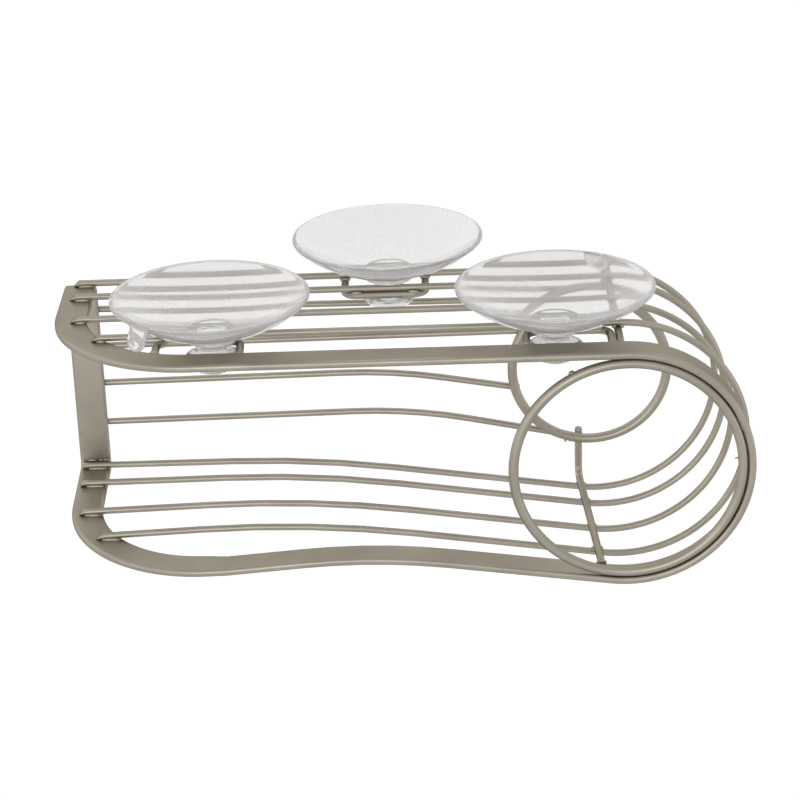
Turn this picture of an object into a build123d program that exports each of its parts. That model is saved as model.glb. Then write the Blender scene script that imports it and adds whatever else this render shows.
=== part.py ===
from build123d import *
import math
import os

# Shower caddy: a welded wire basket that hangs on a tiled wall by three
# push-in suction cups.
# Frame: +Z is up and +Y points into the wall. The origin is on the wall, where
# the cups' rims touch it, midway between the two upper cup brackets, at the
# level of the underside of the basket's floor strip. Depths are measured from
# the outer face of the back rim, away from the wall.

os.makedirs("parts", exist_ok=True)

# ---------------------------------------------------------------- sizes (mm)
# Flat bar frame
bar_width = 10.4
bar_thickness = 2.4
basket_height = 76.0
left_end_x = -106.3
end_centre_x = 75.8
end_radius = 39.0
corner_radius = 46.0
floor_bend_radius = 2.8
front_left_depth = 66.5
front_lean = 3.45
front_knee_x = -4.2
front_knee_radius = 220.0
front_slope = 8.0
lean_run_out = 8.0

# Basket wires
wire_diameter = 2.2
wire_heights = [4.5, 17.1, 37.0, 53.4]
wire_end_x = [70.4, 72.1, 72.3, 74.8]
wire_depths = [79.6, 79.8, 79.6, 80.3]
wire_slope = 8.4
wire_knee_x = -26.2
wire_knee_radius = 380.0
back_tip_inset = [3.2, 3.2, 5.6, 14.0]
front_tip_inset = [0.9, 1.4, 3.0, 10.2]

# Floor wires, each as its depth at the strip, then the (x, depth) of its bend,
# if it has one, and of its end on the floor ring
floor_wire_runs = [
    (10.4, [(61.3, 11.6)]),
    (23.8, [(47.4, 22.9)]),
    (37.4, [(1.8, 36.2), (44.8, 44.6)]),
    (51.9, [(7.8, 50.6), (62.3, 63.0)]),
]
floor_wire_bend_radius = 180.0
floor_wire_start_inset = 3.0

# Rings
ring_wire_diameter = 3.2
ring_clearance = 0.1
floor_ring_radius = 26.2
floor_ring_x = 68.7
floor_ring_depth = 36.2

# Struts and cup brackets
strut_diameter = 2.5
strut_bend_radius = 4.0
strut_overhang = 2.6
front_strut_x = 65.0
front_strut_top_x = 68.0
back_strut_x = 74.1
bracket_span = 26.6
bracket_corner_radius = 4.0
bracket_tip_overhang = 1.5
bracket_left_x = -58.2
bracket_right_x = 58.2
bracket_lower_x = 0.6

# Suction cups
cup_diameter = 62.4
cup_reach = 17.2
cup_bowl_depth = 13.0
cup_lip_width = 1.0
cup_edge_thickness = 0.9
cup_centre_thickness = 2.6
cup_collar_radius = 8.2
cup_collar_taper = 1.0
cup_neck_clearance = 0.45
cup_face_clearance = 0.3
cup_stop_clearance = 0.3
cup_head_radius = 8.8
cup_head_tip_radius = 5.8
cup_head_rim = 1.4
cup_head_length = 4.6
cup_tab_length = 8.0
cup_tab_width = 8.0
cup_tab_bend = 60.0
cup_left_shift = 4.8
cup_right_shift = -4.2
cup_lower_shift = 1.3
cup_left_tab = 130.0
cup_right_tab = -62.0

# ------------------------------------------------------------ derived places
rim_bottom = basket_height - bar_width
back_y = -cup_reach
mid_face_y = back_y - bar_thickness / 2
back_wire_y = back_y + wire_diameter / 2
inner_post_y = back_y - strut_diameter / 2
front_left_y = back_y - front_left_depth
floor_ring_y = back_y - floor_ring_depth
lean = math.radians(front_lean)
front_plane = Plane(
    origin=(0, front_left_y, 0),
    x_dir=(1, 0, 0),
    z_dir=(0, -math.cos(lean), -math.sin(lean)),
)
back_plane = Plane.XZ.offset(-back_y)
corner_x = left_end_x + corner_radius
corner_z = basket_height - corner_radius


def front_face_y(height):
    """Inner face of the leaning front upright at a height."""
    return front_left_y - height * math.tan(lean)


def loop_path(back_y, centre_x, radius, slope, knee_x, knee_radius, start, finish):
    """Back run, round right end and front run with one shallow knee.

    start is the x of the back run's left end, finish the front run's (x, y).
    Returns the front run.
    """
    turn = math.radians(slope)
    centre_y = back_y - radius
    leave_x = centre_x - radius * math.sin(turn)
    leave_y = centre_y - radius * math.cos(turn)
    knee_y = leave_y + (leave_x - knee_x) * math.tan(turn)
    Line((start, back_y), (centre_x, back_y))
    CenterArc((centre_x, centre_y), radius, 90, -180 - slope)
    return FilletPolyline((leave_x, leave_y), (knee_x, knee_y), finish, radius=knee_radius)


# ------------------------------------------------------------- flat bar frame
rim_front_y = front_face_y(basket_height - bar_width / 2) - bar_thickness / 2
lean_end_x = corner_x + lean_run_out

with BuildPart() as frame_band:
    # Rim: back run, round right end and wavy front run
    with BuildSketch(Plane.XY.offset(rim_bottom)):
        with BuildLine():
            front_run = loop_path(
                mid_face_y, end_centre_x, end_radius, front_slope,
                front_knee_x, front_knee_radius, corner_x, (lean_end_x, rim_front_y),
            )
        trace(line_width=bar_thickness)
    extrude(amount=bar_width)

    # Left corners of the back and front panels
    for panel in (back_plane, front_plane):
        with BuildSketch(panel):
            with BuildLine():
                Line((left_end_x, corner_z), (left_end_x + bar_width, corner_z))
                CenterArc((corner_x, corner_z), corner_radius - bar_width, 180, -90)
                Line((corner_x, rim_bottom), (corner_x, basket_height))
                CenterArc((corner_x, corner_z), corner_radius, 90, 90)
            make_face()
        extrude(amount=bar_thickness)

    # The front rim straightens up from the leaning corner
    lean_mid = front_plane.from_local_coords((0, basket_height - bar_width / 2, bar_thickness / 2))
    with BuildSketch(Plane.YZ.offset(corner_x)):
        with Locations((lean_mid.Y, lean_mid.Z)):
            Rectangle(bar_thickness, bar_width, rotation=front_lean)
    run_end = front_run @ 1 + Vector(0, 0, basket_height - bar_width / 2)
    along = -(front_run % 1)
    with BuildSketch(Plane(origin=run_end, x_dir=Vector(0, 0, 1).cross(along), z_dir=along)):
        Rectangle(bar_thickness, bar_width)
    loft()

    # Floor strip with its two uprights
    front_top = front_plane.from_local_coords((0, corner_z, bar_thickness / 2))
    front_foot_y = front_face_y(0) - bar_thickness / 2 / math.cos(lean)
    with BuildSketch(Plane.YZ.offset(left_end_x)):
        with BuildLine():
            FilletPolyline(
                (mid_face_y, corner_z),
                (mid_face_y, bar_thickness / 2),
                (front_foot_y - bar_thickness / 2 * math.tan(lean), bar_thickness / 2),
                (front_top.Y, front_top.Z),
                radius=floor_bend_radius,
            )
        trace(line_width=bar_thickness)
    extrude(amount=bar_width)
frame_band.part.label = "frame_band"
export_step(frame_band.part, "parts/frame_band.step")

# --------------------------------------------------------------- basket wires
for index, height in enumerate(wire_heights):
    wire_radius = wire_diameter / 2
    loop_radius = (wire_depths[index] + wire_diameter / 2) / 2
    back_tip_x = left_end_x + back_tip_inset[index]
    front_tip_x = left_end_x + front_tip_inset[index]
    tip_y = front_face_y(height) + wire_radius / math.cos(lean)
    with BuildPart() as basket_wire:
        with BuildLine(Plane.XY.offset(height)) as wire_path:
            loop_path(
                back_wire_y, wire_end_x[index], loop_radius, wire_slope,
                wire_knee_x, wire_knee_radius, back_tip_x, (front_tip_x, tip_y),
            )
        with BuildSketch(Plane(origin=(back_tip_x, back_wire_y, height), z_dir=(1, 0, 0))):
            Circle(wire_radius)
        sweep()
    name = f"basket_wire_{index + 1}"
    basket_wire.part.label = name
    export_step(basket_wire.part, f"parts/{name}.step")

# ---------------------------------------------------------------- floor wires
floor_wire_z = -wire_diameter / 2
for index, (start_depth, run) in enumerate(floor_wire_runs):
    route = [(left_end_x + floor_wire_start_inset, back_y - start_depth)]
    route += [(x, back_y - depth) for x, depth in run]
    with BuildPart() as floor_wire:
        with BuildLine(Plane.XY.offset(floor_wire_z)) as wire_path:
            if len(route) == 2:
                Line(*route)
            else:
                FilletPolyline(*route, radius=floor_wire_bend_radius)
        with BuildSketch(Plane(origin=wire_path.line @ 0, z_dir=wire_path.line % 0)):
            Circle(wire_diameter / 2)
        sweep()
    name = f"floor_wire_{index + 1}"
    floor_wire.part.label = name
    export_step(floor_wire.part, f"parts/{name}.step")

# ---------------------------------------------------------------------- rings
ring_wire_radius = ring_wire_diameter / 2
end_centre_y = mid_face_y - end_radius
upper_ring_radius = end_radius - bar_thickness / 2 - ring_wire_radius - ring_clearance
upper_ring_z = basket_height - ring_wire_radius

with BuildPart() as upper_ring:
    with BuildSketch(Plane.XZ.offset(-end_centre_y)):
        with Locations((end_centre_x + upper_ring_radius, upper_ring_z)):
            Circle(ring_wire_radius)
    revolve(axis=Axis((end_centre_x, end_centre_y, 0), (0, 0, 1)))
upper_ring.part.label = "upper_ring"
export_step(upper_ring.part, "parts/upper_ring.step")

with BuildPart() as floor_ring:
    with BuildSketch(Plane.XZ.offset(-floor_ring_y)):
        with Locations((floor_ring_x + floor_ring_radius, ring_wire_radius)):
            Circle(ring_wire_radius)
    revolve(axis=Axis((floor_ring_x, floor_ring_y, 0), (0, 0, 1)))
floor_ring.part.label = "floor_ring"
export_step(floor_ring.part, "parts/floor_ring.step")

# --------------------------------------------------------------------- struts
strut_radius = strut_diameter / 2
strut_floor_z = -strut_radius


def ring_edge_y(x, side):
    """Centreline of the floor ring at an x, on its front (-1) or back (+1) side."""
    return floor_ring_y + side * math.sqrt(floor_ring_radius**2 - (x - floor_ring_x) ** 2)


front_strut_y = back_y - wire_depths[0] + wire_diameter / 2 + strut_radius
with BuildPart() as front_strut:
    inner_tip_y = ring_edge_y(front_strut_x, -1) + strut_overhang
    with BuildLine() as strut_path:
        FilletPolyline(
            (front_strut_x, inner_tip_y, strut_floor_z),
            (front_strut_x, front_strut_y, strut_floor_z),
            (front_strut_top_x, front_strut_y, rim_bottom),
            radius=strut_bend_radius,
        )
    with BuildSketch(Plane(origin=strut_path.line @ 0, z_dir=strut_path.line % 0)):
        Circle(strut_radius)
    sweep()
front_strut.part.label = "front_strut"
export_step(front_strut.part, "parts/front_strut.step")

with BuildPart() as back_strut:
    inner_tip_y = ring_edge_y(back_strut_x, 1) - strut_overhang
    with BuildLine() as strut_path:
        FilletPolyline(
            (back_strut_x, inner_tip_y, strut_floor_z),
            (back_strut_x, inner_post_y, strut_floor_z),
            (back_strut_x, inner_post_y, rim_bottom),
            radius=strut_bend_radius,
        )
    with BuildSketch(Plane(origin=strut_path.line @ 0, z_dir=strut_path.line % 0)):
        Circle(strut_radius)
    sweep()
back_strut.part.label = "back_strut"
export_step(back_strut.part, "parts/back_strut.step")


# --------------------------------------------------------------- cup brackets
def rim_edge_z(x):
    """Lower edge of the back rim above a post at an x, round the left corner."""
    reach = corner_x - (x - strut_radius)
    if reach <= 0:
        return rim_bottom
    return corner_z + math.sqrt((corner_radius - bar_width) ** 2 - reach**2)


def bracket(name, centre_x, closed_z, lower_tip_z=None):
    """U-wire inside the back wires, with its arms up to the rim or down to lower_tip_z."""
    left_x = centre_x - bracket_span / 2
    right_x = centre_x + bracket_span / 2
    with BuildPart() as u_wire:
        with BuildLine() as u_path:
            FilletPolyline(
                (left_x, inner_post_y, lower_tip_z or rim_edge_z(left_x)),
                (left_x, inner_post_y, closed_z),
                (right_x, inner_post_y, closed_z),
                (right_x, inner_post_y, lower_tip_z or rim_edge_z(right_x)),
                radius=bracket_corner_radius,
            )
        with BuildSketch(Plane(origin=u_path.line @ 0, z_dir=u_path.line % 0)):
            Circle(strut_radius)
        sweep()
    u_wire.part.label = name
    export_step(u_wire.part, f"parts/{name}.step")


bracket("cup_bracket_left", bracket_left_x, wire_heights[3])
bracket("cup_bracket_right", bracket_right_x, wire_heights[3])
bracket("cup_bracket_lower", bracket_lower_x, wire_heights[1], wire_heights[0] - bracket_tip_overhang)

# --------------------------------------------------------------- suction cups
upper_slot = rim_bottom - wire_heights[3] - wire_diameter / 2
lower_slot = wire_heights[1] - wire_heights[0] - wire_diameter
upper_slot_z = rim_bottom - upper_slot / 2
lower_slot_z = (wire_heights[0] + wire_heights[1]) / 2
neck_radius = min(upper_slot, lower_slot) / 2 - cup_neck_clearance
slot_travel = (bracket_span - strut_diameter) / 2 - neck_radius - cup_stop_clearance
collar_y = back_y + wire_diameter + cup_face_clearance
head_y = back_y - max(strut_diameter, bar_thickness) - cup_face_clearance
head_rim_y = head_y - cup_head_rim
head_tip_y = head_y - cup_head_length
cup_radius = cup_diameter / 2
lip_radius = cup_radius - cup_lip_width
collar_top_radius = cup_collar_radius - cup_collar_taper


def bowl_y(radius, depth, edge_radius, edge_y):
    """Y of a spherical bowl of a depth below its edge circle."""
    sphere = (edge_radius**2 + depth**2) / (2 * depth)
    return edge_y - depth + sphere - math.sqrt(sphere**2 - radius**2)


def tab_plane(centre_x, centre_z, angle):
    """Plane of a release tab that bends back from the rim, at an angle round the cup."""
    turn = math.radians(angle)
    bend = math.radians(cup_tab_bend)
    outward = Vector(math.cos(turn), 0, math.sin(turn))
    along = outward * math.cos(bend) - Vector(0, 1, 0) * math.sin(bend)
    across = Vector(-math.sin(turn), 0, math.cos(turn))
    root = Vector(centre_x, 0, centre_z) + outward * (cup_radius - cup_edge_thickness)
    root -= Vector(0, cup_edge_thickness, 0)
    return Plane(origin=root, x_dir=along, z_dir=along.cross(across))


def suction_cup(name, centre_x, centre_z, tab_angle=None):
    """Bowl that opens to the wall, with a collar, a neck and a button head; a tab if it has one."""
    inner_depth = cup_bowl_depth - cup_centre_thickness
    outer_edge_y = -cup_edge_thickness
    outer_depth = cup_bowl_depth - cup_edge_thickness
    middle = cup_radius * 0.65
    collar_top_y = bowl_y(collar_top_radius, outer_depth, cup_radius, outer_edge_y)
    with BuildPart() as cup:
        with BuildSketch(Plane(origin=(centre_x, 0, centre_z), x_dir=(1, 0, 0), z_dir=(0, 0, 1))):
            with BuildLine():
                Polyline(
                    (0, -inner_depth), (0, head_tip_y), (cup_head_tip_radius, head_tip_y),
                    (cup_head_radius, head_rim_y), (cup_head_radius, head_y), (neck_radius, head_y),
                    (neck_radius, collar_y), (cup_collar_radius, collar_y),
                    (collar_top_radius, collar_top_y),
                )
                ThreePointArc(
                    (collar_top_radius, collar_top_y),
                    (middle, bowl_y(middle, outer_depth, cup_radius, outer_edge_y)),
                    (cup_radius, outer_edge_y),
                )
                Polyline((cup_radius, outer_edge_y), (cup_radius, 0), (lip_radius, 0))
                ThreePointArc(
                    (lip_radius, 0),
                    (middle, bowl_y(middle, inner_depth, lip_radius, 0)),
                    (0, -inner_depth),
                )
            make_face()
        revolve(axis=Axis((centre_x, 0, centre_z), (0, 1, 0)))

        if tab_angle is not None:
            with BuildSketch(tab_plane(centre_x, centre_z, tab_angle)):
                with Locations((cup_tab_length / 2, 0)):
                    RectangleRounded(cup_tab_length, cup_tab_width, cup_tab_width / 3)
            extrude(amount=cup_edge_thickness)
    cup.part.label = name
    export_step(cup.part, f"parts/{name}.step")


suction_cup("suction_cup_left", bracket_left_x + cup_left_shift, upper_slot_z, cup_left_tab)
suction_cup("suction_cup_right", bracket_right_x + cup_right_shift, upper_slot_z, cup_right_tab)
suction_cup("suction_cup_lower", bracket_lower_x + cup_lower_shift, lower_slot_z)

for side, shift in (("left", cup_left_shift), ("right", cup_right_shift), ("lower", cup_lower_shift)):
    print(f"slide of the {side} cup: {-slot_travel - shift:.2f} to {slot_travel - shift:.2f} mm")
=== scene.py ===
import math
import bmesh
import bpy
from mathutils import Matrix, Vector, noise


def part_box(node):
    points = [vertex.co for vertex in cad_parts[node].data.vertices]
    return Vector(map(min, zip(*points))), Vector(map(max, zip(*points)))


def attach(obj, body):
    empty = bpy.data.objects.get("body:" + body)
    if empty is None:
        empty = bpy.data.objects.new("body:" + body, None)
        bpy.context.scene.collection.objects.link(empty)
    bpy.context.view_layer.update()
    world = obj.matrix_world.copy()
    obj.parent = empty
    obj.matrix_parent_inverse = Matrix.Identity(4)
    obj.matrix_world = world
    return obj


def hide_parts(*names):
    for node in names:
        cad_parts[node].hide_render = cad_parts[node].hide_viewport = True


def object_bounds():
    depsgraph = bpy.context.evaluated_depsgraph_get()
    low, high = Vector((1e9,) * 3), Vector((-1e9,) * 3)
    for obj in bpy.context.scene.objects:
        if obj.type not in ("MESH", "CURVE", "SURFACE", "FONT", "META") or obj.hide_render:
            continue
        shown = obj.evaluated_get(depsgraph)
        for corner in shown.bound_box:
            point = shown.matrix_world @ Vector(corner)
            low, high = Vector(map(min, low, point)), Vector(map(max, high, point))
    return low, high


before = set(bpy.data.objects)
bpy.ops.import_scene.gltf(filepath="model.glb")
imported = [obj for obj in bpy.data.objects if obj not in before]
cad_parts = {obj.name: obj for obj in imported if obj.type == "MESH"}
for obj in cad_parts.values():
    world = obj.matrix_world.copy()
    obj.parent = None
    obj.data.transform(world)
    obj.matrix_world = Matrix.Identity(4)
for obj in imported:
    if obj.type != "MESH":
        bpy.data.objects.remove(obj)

cad_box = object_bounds()
MM = 0.001
X_AXIS, Y_AXIS, Z_AXIS = Vector((1, 0, 0)), Vector((0, 1, 0)), Vector((0, 0, 1))

# ------------------------------------------------------------------ sizes (m)
# Flat bar
BAR_WIDTH = 10.4 * MM
BAR_THICKNESS = 2.4 * MM
BAR_EDGE_RADIUS = 0.95 * MM
CORNER_RADIUS = 46.0 * MM
FLOOR_BEND_RADIUS = 2.8 * MM
FRONT_LEFT_DEPTH = 66.5 * MM
FRONT_LEAN = math.radians(3.45)
FRONT_SLOPE = math.radians(8.0)
FRONT_KNEE_X = -4.2 * MM
FRONT_KNEE_RADIUS = 220.0 * MM
LEAN_RUN_OUT = 8.0 * MM

# Wires
WIRE_SLOPE = math.radians(8.4)
WIRE_KNEE_X = -26.2 * MM
WIRE_KNEE_RADIUS = 380.0 * MM
FLOOR_WIRE_BEND_RADIUS = 180.0 * MM
STRUT_BEND_RADIUS = 4.0 * MM
BRACKET_CORNER_RADIUS = 4.0 * MM

# Mesh steps
STEP = 3.0 * MM
TURN_STEP = math.radians(3.0)
TUBE_SIDES = 24
WIRE_CHAMFER = 0.25 * MM


# ------------------------------------------------------------------- geometry
def corners(node):
    """Lowest and highest corner of a CAD node as vectors."""
    low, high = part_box(node)
    return Vector(low), Vector(high)


def straight(a, b):
    """Points from a up to but not including b, about STEP apart."""
    count = max(1, round((b - a).length / STEP))
    return [a.lerp(b, i / count) for i in range(count)]


def arc(centre, start, axis, turn):
    """Points of an arc about an axis, its last point left out."""
    count = max(2, math.ceil(abs(turn) / TURN_STEP))
    spoke = start - centre
    return [centre + Matrix.Rotation(turn * i / count, 3, axis) @ spoke for i in range(count)]


def rounded(corner_points, radius):
    """Straight runs joined by tangent arcs of one radius, as closely spaced points."""
    points = []
    start = corner_points[0]
    for before, corner, after in zip(corner_points, corner_points[1:], corner_points[2:]):
        into, out = (corner - before).normalized(), (after - corner).normalized()
        turn = into.angle(out)
        reach = radius * math.tan(turn / 2)
        axis = into.cross(out).normalized()
        arc_start = corner - into * reach
        centre = arc_start + axis.cross(into) * radius
        points += straight(start, arc_start) + arc(centre, arc_start, axis, turn)
        start = corner + out * reach
    return points + straight(start, corner_points[-1]) + [corner_points[-1]]


def loop_points(back_y, centre_x, radius, slope, knee_x, knee_radius, start_x, finish, z):
    """Back run, round right end and front run with one shallow knee, at a height."""
    centre = Vector((centre_x, back_y - radius, z))
    top = centre + Y_AXIS * radius
    leave = centre + Matrix.Rotation(-math.pi - slope, 3, "Z") @ (Y_AXIS * radius)
    knee = Vector((knee_x, leave.y + (leave.x - knee_x) * math.tan(slope), z))
    points = straight(Vector((start_x, back_y, z)), top)
    points += arc(centre, top, Z_AXIS, -math.pi - slope)
    return points + rounded([leave, knee, Vector((*finish, z))], knee_radius)


def make_object(name, vertices, faces, smooth=True):
    mesh = bpy.data.meshes.new(name)
    mesh.from_pydata([tuple(v) for v in vertices], [], faces)
    mesh.validate()
    made = bmesh.new()
    made.from_mesh(mesh)
    bmesh.ops.recalc_face_normals(made, faces=made.faces)
    made.to_mesh(mesh)
    made.free()
    mesh.polygons.foreach_set("use_smooth", [smooth] * len(mesh.polygons))
    piece = bpy.data.objects.new(name, mesh)
    bpy.context.scene.collection.objects.link(piece)
    return piece


def skin(rings, closed):
    """Quads between consecutive rings of equal count."""
    count = len(rings[0])
    faces = []
    pairs = len(rings) if closed else len(rings) - 1
    for i in range(pairs):
        a, b = i * count, (i + 1) % len(rings) * count
        faces += [(a + k, a + (k + 1) % count, b + (k + 1) % count, b + k) for k in range(count)]
    return faces


def tangents(points, closed):
    count = len(points)
    if closed:
        return [(points[(i + 1) % count] - points[i - 1]).normalized() for i in range(count)]
    made = [(points[1] - points[0]).normalized()]
    made += [(points[i + 1] - points[i - 1]).normalized() for i in range(1, count - 1)]
    return made + [(points[-1] - points[-2]).normalized()]


def ring(centre, side, up, radius):
    spokes = [2 * math.pi * k / TUBE_SIDES for k in range(TUBE_SIDES)]
    return [centre + side * (radius * math.cos(a)) + up * (radius * math.sin(a)) for a in spokes]


def tube(name, points, radius, closed=False, slants=(0.0, 0.0), cut_side=Y_AXIS):
    """Round wire along points. Each end is chamfered, and cut back by its slant on cut_side."""
    if not closed:
        spare = [max(s, 2 * WIRE_CHAMFER) + WIRE_CHAMFER for s in slants]
        points = [points[0]] + [
            p for p in points[1:-1]
            if (p - points[0]).length > spare[0] and (p - points[-1]).length > spare[1]
        ] + [points[-1]]
    along = tangents(points, closed)
    side = along[0].orthogonal().normalized()
    rings = []
    for point, forward in zip(points, along):
        side = (side - forward * side.dot(forward)).normalized()
        rings.append(ring(point, side, forward.cross(side), radius))
    if closed:
        return make_object(name, [v for r in rings for v in r], skin(rings, True))

    def end_rings(at, outward, section, slant):
        """Chamfer ring and rim ring of an end, both cut back on one side."""
        made = []
        for inset, back in ((0.0, WIRE_CHAMFER), (WIRE_CHAMFER, 0.0)):
            made.append([])
            for vertex in section:
                spoke = vertex - at
                cut = slant * (1 + spoke.dot(cut_side) / radius) / 2
                made[-1].append(at + spoke * (1 - inset / radius) - outward * (back + cut))
        return made

    first = end_rings(points[0], -along[0], rings[0], slants[0])
    last = end_rings(points[-1], along[-1], rings[-1], slants[1])
    rings = [first[1], first[0], *rings[1:-1], *last]
    faces = skin(rings, False)
    vertices = [v for r in rings for v in r]
    for index, section in ((0, rings[0]), (len(rings) - 1, rings[-1])):
        centre = len(vertices)
        vertices.append(sum(section, Vector()) / TUBE_SIDES)
        base = index * TUBE_SIDES
        faces += [(base + k, base + (k + 1) % TUBE_SIDES, centre) for k in range(TUBE_SIDES)]
    return make_object(name, vertices, faces)


def bar_section():
    """Rounded outline of the flat bar: (across its thickness, across its width)."""
    support = 0.35 * MM
    steps = 6
    half_u, half_v = BAR_THICKNESS / 2 - BAR_EDGE_RADIUS, BAR_WIDTH / 2 - BAR_EDGE_RADIUS
    outline = []
    for quarter, (su, sv) in enumerate(((1, 1), (-1, 1), (-1, -1), (1, -1))):
        corner = [
            (
                su * half_u + BAR_EDGE_RADIUS * math.cos(a),
                sv * half_v + BAR_EDGE_RADIUS * math.sin(a),
            )
            for a in ((quarter + k / steps) * math.pi / 2 for k in range(steps + 1))
        ]
        beside = (su * BAR_THICKNESS / 2, sv * (half_v - support))
        outline += [beside] + corner if quarter % 2 == 0 else corner + [beside]
    return outline


# ------------------------------------------------------------------ materials
def node_material(name):
    material = bpy.data.materials.new(name)
    material.use_nodes = True
    return material, material.node_tree.nodes, material.node_tree.links


def noise_node(nodes, links, scale, detail):
    """Noise in the object's own coordinates."""
    place = nodes.new("ShaderNodeTexCoord")
    grain = nodes.new("ShaderNodeTexNoise")
    grain.inputs["Scale"].default_value = scale
    grain.inputs["Detail"].default_value = detail
    links.new(place.outputs["Object"], grain.inputs["Vector"])
    return grain.outputs["Fac"]


def spread_between(nodes, links, factor, low, high):
    """Maps a noise factor's usual 0.3 to 0.7 onto low to high."""
    span = nodes.new("ShaderNodeMapRange")
    span.inputs["From Min"].default_value = 0.3
    span.inputs["From Max"].default_value = 0.7
    span.inputs["To Min"].default_value = low
    span.inputs["To Max"].default_value = high
    links.new(factor, span.inputs["Value"])
    return span.outputs["Result"]


def colours_between(nodes, links, factor, dark, light):
    ramp = nodes.new("ShaderNodeValToRGB")
    ramp.color_ramp.elements[0].position = 0.3
    ramp.color_ramp.elements[0].color = (*dark, 1)
    ramp.color_ramp.elements[1].position = 0.7
    ramp.color_ramp.elements[1].color = (*light, 1)
    links.new(factor, ramp.inputs["Fac"])
    return ramp.outputs["Color"]


def satin_nickel(name, dark, light, rough_low, rough_high):
    """Plated steel with a fine blasted grain and slow changes of tone."""
    material, nodes, links = node_material(name)
    shader = nodes["Principled BSDF"]
    shader.inputs["Metallic"].default_value = 1.0
    shader.inputs["Specular Tint"].default_value = (0.35, 0.33, 0.30, 1)
    tone = noise_node(nodes, links, 60.0, 3.0)
    links.new(colours_between(nodes, links, tone, dark, light), shader.inputs["Base Color"])
    streaks = noise_node(nodes, links, 240.0, 4.0)
    links.new(spread_between(nodes, links, streaks, rough_low, rough_high), shader.inputs["Roughness"])
    grain = noise_node(nodes, links, 2600.0, 3.0)
    bump = nodes.new("ShaderNodeBump")
    bump.inputs["Strength"].default_value = 0.12
    bump.inputs["Distance"].default_value = 0.05 * MM
    links.new(grain, bump.inputs["Height"])
    links.new(bump.outputs["Normal"], shader.inputs["Normal"])
    return material


def clear_vinyl(name, clear_low, clear_high):
    """Soft clear plastic with a faint milky cloud and a barely uneven skin."""
    material, nodes, links = node_material(name)
    shader = nodes["Principled BSDF"]
    shader.inputs["IOR"].default_value = 1.42
    cloud = noise_node(nodes, links, 45.0, 3.0)
    links.new(
        colours_between(nodes, links, cloud, (0.90, 0.885, 0.88), (0.96, 0.95, 0.945)),
        shader.inputs["Base Color"],
    )
    links.new(
        spread_between(nodes, links, cloud, clear_high, clear_low),
        shader.inputs["Transmission Weight"],
    )
    ripple = noise_node(nodes, links, 120.0, 2.0)
    links.new(spread_between(nodes, links, ripple, 0.04, 0.10), shader.inputs["Roughness"])
    bump = nodes.new("ShaderNodeBump")
    bump.inputs["Strength"].default_value = 0.03
    bump.inputs["Distance"].default_value = 0.3 * MM
    links.new(ripple, bump.inputs["Height"])
    links.new(bump.outputs["Normal"], shader.inputs["Normal"])
    return material


nickel = satin_nickel("nickel", (0.385, 0.355, 0.295), (0.455, 0.42, 0.352), 0.34, 0.44)
weld_nickel = satin_nickel("weld_nickel", (0.39, 0.36, 0.30), (0.48, 0.45, 0.38), 0.30, 0.38)
vinyl = clear_vinyl("vinyl", 0.70, 0.80)


def finish_piece(piece, material, body, slot, *nodes):
    """Gives a piece its material and body, and hides the CAD nodes that it stands for. The slot is not
    used.
    """
    piece.data.materials.append(material)
    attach(piece, body)
    if nodes:
        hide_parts(*nodes)


def metal(piece, *nodes):
    finish_piece(piece, nickel, "basket", "satin_nickel", *nodes)


# --------------------------------------------------------------------- camera
CAMERA_DISTANCE = 0.8526
CAMERA_TILT = math.radians(23.645)
CAMERA_YAW = math.radians(0.557)
CAMERA_ROLL = math.radians(1.96)
CAMERA_LENS = 117.9
CAMERA_SENSOR = 36.0
AIM_FROM_CENTRE = Vector((-0.65, 2.1, 2.75)) * MM


def make_camera():
    """Looks down on the rim, a little tilted towards the wall and rolled."""
    back = Vector((
        math.sin(CAMERA_YAW) * math.cos(CAMERA_TILT),
        math.sin(CAMERA_TILT),
        math.cos(CAMERA_YAW) * math.cos(CAMERA_TILT),
    ))
    level = Y_AXIS.cross(back).normalized()
    upright = back.cross(level)
    right = level * math.cos(CAMERA_ROLL) - upright * math.sin(CAMERA_ROLL)
    up = back.cross(right)
    data = bpy.data.cameras.new("camera")
    data.lens = CAMERA_LENS
    data.sensor_width = CAMERA_SENSOR
    camera = bpy.data.objects.new("camera", data)
    bpy.context.scene.collection.objects.link(camera)
    aim = (cad_box[0] + cad_box[1]) / 2 + AIM_FROM_CENTRE
    turn = Matrix((right, up, back)).transposed()
    camera.matrix_world = Matrix.Translation(aim + back * CAMERA_DISTANCE) @ turn.to_4x4()
    bpy.context.scene.camera = camera


make_camera()

# ------------------------------------------------------------- flat bar frame
band_low, band_high = corners("frame_band")
mid_face_y = band_high.y - BAR_THICKNESS / 2
end_radius = (band_high.y - band_low.y - BAR_THICKNESS) / 2
end_x = band_high.x - end_radius - BAR_THICKNESS / 2
left_x = band_low.x
basket_height = band_high.z
front_left_y = band_high.y - FRONT_LEFT_DEPTH
corner_x = left_x + CORNER_RADIUS
corner_z = basket_height - CORNER_RADIUS
rim_mid_z = basket_height - BAR_WIDTH / 2
lean_up = Vector((0, -math.sin(FRONT_LEAN), math.cos(FRONT_LEAN)))
lean_out = Vector((0, -math.cos(FRONT_LEAN), -math.sin(FRONT_LEAN)))


def front_point(x, height, depth=BAR_THICKNESS / 2):
    """Point on the leaning front panel, depth out from its inner face."""
    return Vector((x, front_left_y, 0)) + lean_up * height + lean_out * depth


def front_face_y(height):
    """Inner face of the leaning front upright at a height."""
    return front_left_y - height * math.tan(FRONT_LEAN)


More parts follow.
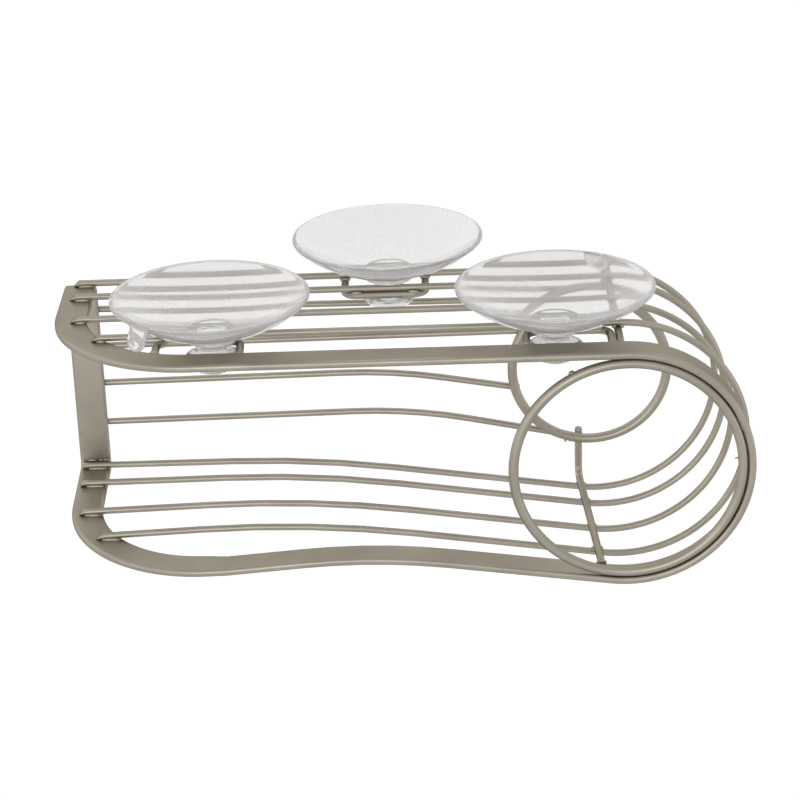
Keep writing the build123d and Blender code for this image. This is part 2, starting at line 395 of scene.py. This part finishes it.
def bar_frame():
    """The whole closed bar: rim, front corner, upright, floor strip, upright, back corner."""
    arm = CORNER_RADIUS - BAR_WIDTH / 2
    rim_front_y = front_face_y(rim_mid_z) - BAR_THICKNESS / 2
    lean_end_x = corner_x + LEAN_RUN_OUT
    rim = loop_points(
        mid_face_y, end_x, end_radius, FRONT_SLOPE, FRONT_KNEE_X, FRONT_KNEE_RADIUS,
        corner_x, (lean_end_x, rim_front_y), rim_mid_z,
    )
    stations = []
    for point, along in zip(rim, tangents(rim, False)):
        stations.append((point, Z_AXIS.cross(along), Z_AXIS))

    # Front corner, in the leaning panel
    count = math.ceil(math.pi / 2 / TURN_STEP)
    for i in range(count + 1):
        turn = math.pi / 2 * (1 + i / count)
        height, reach = math.sin(turn), math.cos(turn)
        point = front_point(corner_x + arm * reach, corner_z + arm * height)
        stations.append((point, lean_out, X_AXIS * reach + lean_up * height))

    # Uprights and floor strip, with two tight bends
    mid_x = left_x + BAR_WIDTH / 2
    front_foot_y = front_face_y(0) - BAR_THICKNESS / 2 / math.cos(FRONT_LEAN)
    foot = Vector((mid_x, front_foot_y - BAR_THICKNESS / 2 * math.tan(FRONT_LEAN), BAR_THICKNESS / 2))
    heel = Vector((mid_x, mid_face_y, BAR_THICKNESS / 2))
    strip = rounded(
        [stations[-1][0], foot, heel, Vector((mid_x, mid_face_y, corner_z))], FLOOR_BEND_RADIUS
    )
    for point, along in list(zip(strip, tangents(strip, False)))[1:-1]:
        stations.append((point, along.cross(X_AXIS), -X_AXIS))

    # Back corner
    for i in range(count):
        turn = math.pi * (1 - i / count / 2)
        spoke = X_AXIS * math.cos(turn) + Z_AXIS * math.sin(turn)
        stations.append((Vector((corner_x, mid_face_y, corner_z)) + spoke * arm, Y_AXIS, spoke))

    outline = bar_section()
    rings = [[point + out * u + wide * v for u, v in outline] for point, out, wide in stations]
    piece = make_object("bar_frame", [v for r in rings for v in r], skin(rings, True))
    metal(piece, "frame_band")


bar_frame()

# ---------------------------------------------------------------------- wires
FRONT_SLANTS = [0.5 * MM, 0.6 * MM, 1.4 * MM, 2.4 * MM]
BACK_SLANTS = [1.8 * MM, 2.0 * MM, 2.0 * MM, 2.2 * MM]


def end_y(node, end_x, y_side=0):
    """Middle y of a wire's end face at end_x, on its front (-1) or back (+1) half, or either (0)."""
    low, high = corners(node)
    middle = (low.y + high.y) / 2
    ys = [
        v.co.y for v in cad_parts[node].data.vertices
        if abs(v.co.x - end_x) < 0.15 * MM and (v.co.y - middle) * y_side >= 0
    ]
    return (min(ys) + max(ys)) / 2


def tip_x(node, y_side):
    """Left end x of a side wire's front (-1) or back (+1) run."""
    low, high = corners(node)
    middle = (low.y + high.y) / 2
    return min(v.co.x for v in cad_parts[node].data.vertices if (v.co.y - middle) * y_side > 0)


for index in range(4):
    node = f"basket_wire_{index + 1}"
    low, high = corners(node)
    wire_radius = (high.z - low.z) / 2
    loop_radius = (high.y - low.y) / 2 - wire_radius
    back_tip, front_tip = tip_x(node, 1), tip_x(node, -1)
    tip_y = end_y(node, front_tip, -1)
    points = loop_points(
        high.y - wire_radius, high.x - loop_radius - wire_radius, loop_radius, WIRE_SLOPE,
        WIRE_KNEE_X, WIRE_KNEE_RADIUS, back_tip, (front_tip, tip_y), (low.z + high.z) / 2,
    )
    slants = (BACK_SLANTS[index], FRONT_SLANTS[index])
    metal(tube(f"side_wire_{index + 1}", points, wire_radius, slants=slants), node)

# Floor wires: the x and depth of the bend in those that have one
FLOOR_WIRE_BENDS = {3: (1.8 * MM, 36.2 * MM), 4: (7.8 * MM, 50.6 * MM)}

for index in range(1, 5):
    node = f"floor_wire_{index}"
    low, high = corners(node)
    wire_z = (low.z + high.z) / 2
    route = [Vector((low.x, end_y(node, low.x), wire_z))]
    if index in FLOOR_WIRE_BENDS:
        x, depth = FLOOR_WIRE_BENDS[index]
        route.append(Vector((x, band_high.y - depth, wire_z)))
    route.append(Vector((high.x, end_y(node, high.x), wire_z)))
    points = rounded(route, FLOOR_WIRE_BEND_RADIUS)
    metal(tube(f"bottom_wire_{index}", points, (high.z - low.z) / 2), node)


# ---------------------------------------------------------------------- rings
def ring_place(node):
    """Centre, radius and wire radius of a ring's CAD node."""
    low, high = corners(node)
    wire_radius = (high.z - low.z) / 2
    return (low + high) / 2, (high.x - low.x) / 2 - wire_radius, wire_radius


def on_ring(place, angle):
    centre, radius, _ = place
    turn = math.radians(angle)
    return centre + Vector((math.cos(turn), math.sin(turn), 0)) * radius


upper_ring = ring_place("upper_ring")
floor_ring = ring_place("floor_ring")
for name, node, place in (
    ("top_ring", "upper_ring", upper_ring), ("base_ring", "floor_ring", floor_ring),
):
    points = arc(place[0], on_ring(place, 0), Z_AXIS, 2 * math.pi)
    metal(tube(name, points, place[2], closed=True), node)

# --------------------------------------------------------- struts and brackets
rim_bottom = basket_height - BAR_WIDTH


post_low, post_high = corners("back_strut")
post_radius = (post_high.x - post_low.x) / 2


def struts():
    low, high = corners("front_strut")
    y, z = low.y + post_radius, low.z + post_radius
    front = [
        Vector((low.x + post_radius, high.y, z)),
        Vector((low.x + post_radius, y, z)),
        Vector((high.x - post_radius, y, rim_bottom)),
    ]
    low, high = corners("back_strut")
    x, y, z = low.x + post_radius, high.y - post_radius, low.z + post_radius
    back = [Vector((x, low.y, z)), Vector((x, y, z)), Vector((x, y, rim_bottom))]
    metal(tube("front_post", rounded(front, STRUT_BEND_RADIUS), post_radius), "front_strut")
    metal(tube("back_post", rounded(back, STRUT_BEND_RADIUS), post_radius), "back_strut")
    return front, back


def rim_edge_z(x):
    """Lower edge of the back rim above a post at an x, round the left corner."""
    reach = corner_x - (x - post_radius)
    if reach <= 0:
        return rim_bottom
    return corner_z + math.sqrt((CORNER_RADIUS - BAR_WIDTH) ** 2 - reach**2)


def brackets():
    """The three U-wires, and their corner points."""
    made = {}
    for side in ("left", "right", "lower"):
        node = f"cup_bracket_{side}"
        low, high = corners(node)
        left, right = low.x + post_radius, high.x - post_radius
        y = (low.y + high.y) / 2
        if side == "lower":
            closed_z, ends = high.z - post_radius, (low.z, low.z)
        else:
            closed_z, ends = low.z + post_radius, (rim_edge_z(left), rim_edge_z(right))
        route = [
            Vector((left, y, ends[0])), Vector((left, y, closed_z)),
            Vector((right, y, closed_z)), Vector((right, y, ends[1])),
        ]
        metal(tube(f"bracket_{side}", rounded(route, BRACKET_CORNER_RADIUS), post_radius), node)
        made[side] = route
    return made


front_route, back_route = struts()
bracket_routes = brackets()

# ---------------------------------------------------------------------- welds
BEAD_RINGS = 10
BEAD_SIDES = 14


def bead(centre, along, up, sizes, rough=0.12):
    """Vertices and faces of one rounded blob; sizes are its half lengths along, across and up."""
    along = along.normalized()
    up = (up - along * up.dot(along)).normalized()
    across = up.cross(along)
    vertices = [centre + along * sizes[0]]
    for i in range(1, BEAD_RINGS):
        tilt = math.pi * i / BEAD_RINGS
        for k in range(BEAD_SIDES):
            spin = 2 * math.pi * k / BEAD_SIDES
            spoke = across * (sizes[1] * math.cos(spin)) + up * (sizes[2] * math.sin(spin))
            point = centre + along * (sizes[0] * math.cos(tilt)) + spoke * math.sin(tilt) ** 0.8
            swell = 1 + rough * noise.noise(point / (0.9 * MM))
            vertices.append(centre + (point - centre) * swell)
    vertices.append(centre - along * sizes[0])
    faces = []
    last = len(vertices) - 1
    for k in range(BEAD_SIDES):
        after = (k + 1) % BEAD_SIDES
        faces.append((0, 1 + k, 1 + after))
        for i in range(BEAD_RINGS - 2):
            a, b = 1 + i * BEAD_SIDES, 1 + (i + 1) * BEAD_SIDES
            faces.append((a + k, b + k, b + after, a + after))
        base = 1 + (BEAD_RINGS - 2) * BEAD_SIDES
        faces.append((base + k, last, base + after))
    return vertices, faces


def weld_group(name, beads):
    """One piece of several separate blobs."""
    vertices, faces = [], []
    for blob_vertices, blob_faces in beads:
        start = len(vertices)
        vertices += blob_vertices
        faces += [tuple(i + start for i in face) for face in blob_faces]
    finish_piece(make_object(name, vertices, faces), weld_nickel, "basket", "satin_nickel")


def fillet_beads(centre, along, across, radius, length, size=0.55 * MM):
    """Two beads in the grooves beside a wire that lies on a face."""
    return [
        bead(centre + across * (side * radius * 0.92), along, Z_AXIS + Y_AXIS, (length, size, size))
        for side in (-1, 1)
    ]


def upright_welds():
    """Fillets where the side wires lie on the uprights."""
    front, back = [], []
    for index in range(1, 5):
        low, high = corners(f"basket_wire_{index}")
        z, radius = (low.z + high.z) / 2, (high.z - low.z) / 2
        inner_x = left_x + BAR_WIDTH
        if z > corner_z:
            inner_x = corner_x - math.sqrt((CORNER_RADIUS - BAR_WIDTH) ** 2 - (z - corner_z) ** 2)
        node = f"basket_wire_{index}"
        for beads, y, y_side in ((back, band_high.y, 1), (front, front_face_y(z), -1)):
            start_x = tip_x(node, y_side) + 1.2 * MM
            middle, half = (start_x + inner_x) / 2, (inner_x - start_x) / 2
            centre = Vector((middle, y + 0.2 * MM, z))
            beads += fillet_beads(centre, X_AXIS, Z_AXIS, radius, half * 0.8)
    weld_group("welds_back_upright", back)
    weld_group("welds_front_upright", front)


def floor_welds():
    """Fillets where the floor wires cross the strip and end on the floor ring."""
    strip, base = [], []
    for index in range(1, 5):
        low, high = corners(f"floor_wire_{index}")
        radius = (high.z - low.z) / 2
        start = Vector((low.x, end_y(f"floor_wire_{index}", low.x), 0))
        middle = (low.x + left_x + BAR_WIDTH) / 2
        strip += fillet_beads(Vector((middle, start.y, -0.2 * MM)), X_AXIS, Y_AXIS, radius, 2.6 * MM)
        end = Vector((high.x, end_y(f"floor_wire_{index}", high.x), -0.1 * MM))
        base.append(bead(end - X_AXIS * radius, Y_AXIS, Z_AXIS, (1.5 * MM, 1.0 * MM, 0.6 * MM)))
    weld_group("welds_floor_strip", strip)
    weld_group("welds_floor_ring", base)


def strut_welds():
    """Small lumps each side of the posts where they cross the side wires, rings and rim."""
    beads = []
    for route in (front_route, back_route):
        inner, foot, top = route
        for index in range(1, 5):
            low, high = corners(f"basket_wire_{index}")
            z = (low.z + high.z) / 2
            x = foot.x + (top.x - foot.x) * (z - foot.z) / (top.z - foot.z)
            outward = (foot - inner).normalized()
            for side in (-1, 1):
                centre = Vector((x + side * post_radius * 0.95, foot.y, z)) + outward * post_radius
                beads.append(bead(centre, X_AXIS, Z_AXIS, (0.9 * MM, 0.8 * MM, 1.1 * MM)))
        rim_spot = Vector((top.x, top.y, rim_bottom))
        beads.append(bead(rim_spot, X_AXIS, Z_AXIS, (1.7 * MM, 1.0 * MM, 0.6 * MM)))
        centre, radius, wire = floor_ring
        side = 1 if route is back_route else -1
        ring_y = centre.y + side * math.sqrt(radius**2 - (foot.x - centre.x) ** 2)
        contact = Vector((foot.x, ring_y, centre.z - wire))
        for end in (-1, 1):
            beads.append(
                bead(contact + Y_AXIS * (end * 1.0 * MM), X_AXIS, Z_AXIS, (1.3 * MM, 0.7 * MM, 0.55 * MM))
            )
    weld_group("welds_posts", beads)


def bracket_welds():
    beads = []
    for side, route in bracket_routes.items():
        left_end, left, right, right_end = route
        wires = (4,) if side != "lower" else (1, 2)
        for index in wires:
            low, high = corners(f"basket_wire_{index}")
            z = (low.z + high.z) / 2
            for x in (left.x, right.x):
                inset = BRACKET_CORNER_RADIUS if abs(z - left.z) < MM else 0
                inset = inset if x == left.x else -inset
                centre = Vector((x + inset, left.y + post_radius, z))
                beads += fillet_beads(centre, X_AXIS, Z_AXIS, post_radius, 1.8 * MM, 0.6 * MM)
        if side != "lower":
            for end in (left_end, right_end):
                centre = Vector((end.x, end.y + 0.6 * MM, end.z))
                beads.append(bead(centre, X_AXIS, Z_AXIS, (1.6 * MM, 1.0 * MM, 0.7 * MM)))
    weld_group("welds_brackets", beads)


def ring_welds():
    """Butt seams of the rings, dabs between ring and rim, and a few sharp spikes."""
    seams = []
    for place, angle, size in (
        (upper_ring, 73.0, 0.12), (floor_ring, -107.9, 0.2), (floor_ring, -104.2, 0.2),
    ):
        centre = on_ring(place, angle)
        forward = (on_ring(place, angle + 1) - centre).normalized()
        size = place[2] + size * MM
        seams.append(bead(centre, forward, Z_AXIS, (0.55 * MM, size, size), rough=0.05))
    weld_group("ring_seams", seams)
    centre, radius, wire = upper_ring
    dabs = []
    for angle in (-9.7, 62.0, 118.0, -98.0):
        turn = math.radians(angle)
        outward = Vector((math.cos(turn), math.sin(turn), 0))
        spot = centre + outward * (radius + wire) - Z_AXIS * 0.6 * MM
        dabs.append(bead(spot, outward.cross(Z_AXIS), Z_AXIS, (1.0 * MM, 0.55 * MM, 0.8 * MM)))
    weld_group("welds_top_ring", dabs)
    spike = on_ring(upper_ring, 4.6) - X_AXIS * wire
    burr = on_ring(floor_ring, -108.5) - Y_AXIS * floor_ring[2]
    burrs = [
        bead(spike, X_AXIS + Y_AXIS * 0.3, Z_AXIS, (1.1 * MM, 0.35 * MM, 0.3 * MM), rough=0.4),
        bead(burr, Y_AXIS + X_AXIS * 0.2, Z_AXIS, (1.0 * MM, 0.35 * MM, 0.35 * MM), rough=0.4),
    ]
    weld_group("weld_burrs", burrs)
    inner, foot, _ = front_route
    collar = foot.lerp(inner, 7.4 * MM / (inner - foot).length)
    weld_group("post_seam", [bead(collar, Y_AXIS, Z_AXIS, (0.5 * MM, 1.4 * MM, 1.4 * MM), rough=0.05)])


def strip_marks():
    """Pressed lumps along the front bend of the floor strip."""
    y = front_face_y(0) + 1.6 * MM
    beads = []
    for share, half, size in (
        (0.1, 0.75, 0.4), (0.38, 1.5, 0.28), (0.68, 0.6, 0.45), (0.86, 1.1, 0.38),
    ):
        x = left_x + BAR_WIDTH * share
        spot = Vector((x, y, BAR_THICKNESS))
        beads.append(bead(spot, X_AXIS, Z_AXIS, (half * MM, 0.5 * MM, size * MM)))
    weld_group("bend_marks", beads)


upright_welds()
floor_welds()
strut_welds()
bracket_welds()
ring_welds()
strip_marks()

# --------------------------------------------------------------- suction cups
CUP_RADIUS = 31.2 * MM
CUP_BOWL_DEPTH = 13.0 * MM
CUP_EDGE = 0.9 * MM
CUP_LIP = 1.0 * MM
CUP_CENTRE_THICKNESS = 2.6 * MM
CUP_COLLAR_RADIUS = 8.2 * MM
CUP_COLLAR_TOP_RADIUS = 7.2 * MM
CUP_COLLAR_Y = -14.7 * MM
CUP_NECK_RADIUS = 4.75 * MM
CUP_HEAD_Y = -20.0 * MM
CUP_HEAD_RADIUS = 8.8 * MM
CUP_HEAD_TIP_RADIUS = 5.8 * MM
CUP_HEAD_RIM = 1.4 * MM
CUP_HEAD_LENGTH = 4.6 * MM
CUP_TAB = 8.0 * MM
CUP_TAB_BEND = math.radians(60)
CUP_SEGMENTS = 128
CUP_TABS = {"left": 130.0, "right": -62.0}  # degrees round the cup; the lower cup has none


def bowl_curve(start_radius, end_radius, depth, edge_radius, edge_y, count=24):
    """Points on a spherical bowl of a depth below its edge circle."""
    sphere = (edge_radius**2 + depth**2) / (2 * depth)
    radii = [start_radius + (end_radius - start_radius) * i / count for i in range(count + 1)]
    return [(r, edge_y - depth + sphere - math.sqrt(sphere**2 - r**2)) for r in radii]


def softened(profile, radius):
    """Profile with each listed corner rounded: corners are (r, y, round them)."""
    made = []
    for i, (r, y, soft) in enumerate(profile):
        if not soft:
            made.append((r, y))
            continue
        here = Vector((r, y))
        before = Vector(profile[i - 1][:2]) - here
        after = Vector(profile[i + 1][:2]) - here
        reach = min(radius, before.length * 0.45, after.length * 0.45)
        a, b = here + before.normalized() * reach, here + after.normalized() * reach
        for k in range(5):
            t = k / 4
            point = a * (1 - t) ** 2 + here * (2 * t * (1 - t)) + b * t**2
            made.append((point.x, point.y))
    return made


def cup_profile():
    """Closed outline from the bowl's inside centre, over the head and collar, to the lip."""
    inner_depth = CUP_BOWL_DEPTH - CUP_CENTRE_THICKNESS
    head_tip = CUP_HEAD_Y - CUP_HEAD_LENGTH
    outer = bowl_curve(
        CUP_COLLAR_TOP_RADIUS, CUP_RADIUS, CUP_BOWL_DEPTH - CUP_EDGE, CUP_RADIUS, -CUP_EDGE
    )
    inner = bowl_curve(CUP_RADIUS - CUP_LIP, 0.0, inner_depth, CUP_RADIUS - CUP_LIP, 0.0)
    stem = [
        (0.0, head_tip + 0.5 * MM, False),
        (2.6 * MM, head_tip + 0.35 * MM, False),
        (3.4 * MM, head_tip, True),
        (CUP_HEAD_TIP_RADIUS, head_tip, True),
        (CUP_HEAD_RADIUS, CUP_HEAD_Y - CUP_HEAD_RIM, True),
        (CUP_HEAD_RADIUS, CUP_HEAD_Y, True),
        (CUP_NECK_RADIUS, CUP_HEAD_Y, True),
        (CUP_NECK_RADIUS, CUP_COLLAR_Y, True),
        (CUP_COLLAR_RADIUS, CUP_COLLAR_Y, True),
        (*outer[0], True),
        (*outer[1], False),
    ]
    lip = [(*outer[-2], False), (CUP_RADIUS, -CUP_EDGE, True), (CUP_RADIUS, 0.0, True),
           (CUP_RADIUS - CUP_LIP, 0.0, True), (*inner[1], False)]
    return softened(stem, 0.5 * MM)[:-1] + outer[1:-2] + softened(lip, 0.4 * MM) + inner[2:]


def revolve_about_y(profile, centre):
    """Vertices and faces of a closed turned body; the outline's ends are on the axis."""
    vertices = [centre + Y_AXIS * profile[0][1]]
    body = profile[1:-1]
    for r, y in body:
        for k in range(CUP_SEGMENTS):
            spin = 2 * math.pi * k / CUP_SEGMENTS
            vertices.append(centre + Vector((r * math.cos(spin), y, r * math.sin(spin))))
    vertices.append(centre + Y_AXIS * profile[-1][1])
    last = len(vertices) - 1
    faces = []
    for k in range(CUP_SEGMENTS):
        after = (k + 1) % CUP_SEGMENTS
        faces.append((0, 1 + k, 1 + after))
        for i in range(len(body) - 1):
            a, b = 1 + i * CUP_SEGMENTS, 1 + (i + 1) * CUP_SEGMENTS
            faces.append((a + k, b + k, b + after, a + after))
        base = 1 + (len(body) - 1) * CUP_SEGMENTS
        faces.append((base + k, last, base + after))
    return vertices, faces


def cup_tab(centre, angle):
    """Release tab: a rounded tongue that bends back from the rim."""
    turn = math.radians(angle)
    outward = Vector((math.cos(turn), 0, math.sin(turn)))
    across = Vector((-math.sin(turn), 0, math.cos(turn)))
    along = outward * math.cos(CUP_TAB_BEND) - Y_AXIS * math.sin(CUP_TAB_BEND)
    thick = along.cross(across)
    root = centre + outward * (CUP_RADIUS - CUP_EDGE) - Y_AXIS * CUP_EDGE / 2
    half_width = CUP_TAB / 2
    rows = []
    count = 12
    for i in range(count + 1):
        share = i / count
        run = CUP_TAB * share
        rounding = max(0.0, (share - 0.55) / 0.45)
        width = half_width * math.sqrt(max(0.02, 1 - rounding**2.2))
        height = CUP_EDGE * (0.55 - 0.12 * share)
        curl = thick * (0.8 * MM * share**2)
        middle = root + along * run + curl
        rows.append([
            middle + across * (width * math.cos(a))
            + thick * (height * math.sin(a) * (1 - 0.3 * abs(math.cos(a))))
            for a in (2 * math.pi * k / BEAD_SIDES for k in range(BEAD_SIDES))
        ])
    vertices = [v for row in rows for v in row]
    faces = skin(rows, False)
    for base, row in ((0, rows[0]), ((len(rows) - 1) * BEAD_SIDES, rows[-1])):
        vertices.append(sum(row, Vector()) / BEAD_SIDES)
        middle = len(vertices) - 1
        faces += [(base + k, base + (k + 1) % BEAD_SIDES, middle) for k in range(BEAD_SIDES)]
    return vertices, faces


def cup_centre(side):
    """Centre of a cup's lip circle, from the top and the two sides of its box."""
    low, high = corners(f"suction_cup_{side}")
    return Vector(((low.x + high.x) / 2, 0, high.z - CUP_RADIUS))


for side in ("left", "right", "lower"):
    centre = cup_centre(side)
    vertices, faces = revolve_about_y(cup_profile(), centre)
    cup = make_object(f"cup_{side}", vertices, faces)
    finish_piece(cup, vinyl, f"{side}_cup", "clear_vinyl", f"suction_cup_{side}")
    if side in CUP_TABS:
        tab = make_object(f"cup_tab_{side}", *cup_tab(centre, CUP_TABS[side]))
        finish_piece(tab, vinyl, f"{side}_cup", "clear_vinyl")

# ------------------------------------------------------------- floor and light
FLOOR_Z = -0.30
FLOOR_SIZE = 6.0


def make_floor():
    half = FLOOR_SIZE / 2
    outline = ((-half, -half), (half, -half), (half, half), (-half, half))
    square = [Vector((x, y, FLOOR_Z)) for x, y in outline]
    floor = make_object("floor", square, [(0, 1, 2, 3)], smooth=False)
    material, nodes, links = node_material("white_table")
    shader = nodes["Principled BSDF"]
    shader.inputs["Roughness"].default_value = 0.9
    shader.inputs["Emission Strength"].default_value = 0.22
    shader.inputs["Emission Color"].default_value = (1, 1, 1, 1)
    tone = noise_node(nodes, links, 3.0, 2.0)
    white = colours_between(nodes, links, tone, (0.93, 0.93, 0.93), (0.95, 0.95, 0.95))
    links.new(white, shader.inputs["Base Color"])
    floor.data.materials.append(material)


def softbox(name, place, size, power, aim=Vector((0, -0.05, 0.04))):
    light = bpy.data.lights.new(name, "AREA")
    light.shape = "RECTANGLE"
    light.size, light.size_y = size
    light.energy = power
    lamp = bpy.data.objects.new(name, light)
    bpy.context.scene.collection.objects.link(lamp)
    lamp.location = place
    lamp.rotation_mode = "QUATERNION"
    lamp.rotation_quaternion = (aim - Vector(place)).to_track_quat("-Z", "Y")


def make_light():
    softbox("top_softbox", (-0.25, 0.15, 1.5), (0.9, 0.7), 3.5)
    softbox("left_softbox", (-1.3, 0.3, 0.8), (0.7, 1.0), 1.8)
    softbox("right_softbox", (1.3, -0.2, 0.7), (0.5, 1.0), 0.9)
    world = bpy.data.worlds.new("studio")
    world.use_nodes = True
    background = world.node_tree.nodes["Background"]
    background.inputs["Color"].default_value = (1.0, 1.0, 1.0, 1)
    background.inputs["Strength"].default_value = 0.75
    bpy.context.scene.world = world
    bpy.context.scene.view_settings.view_transform = "Standard"


make_floor()
make_light()
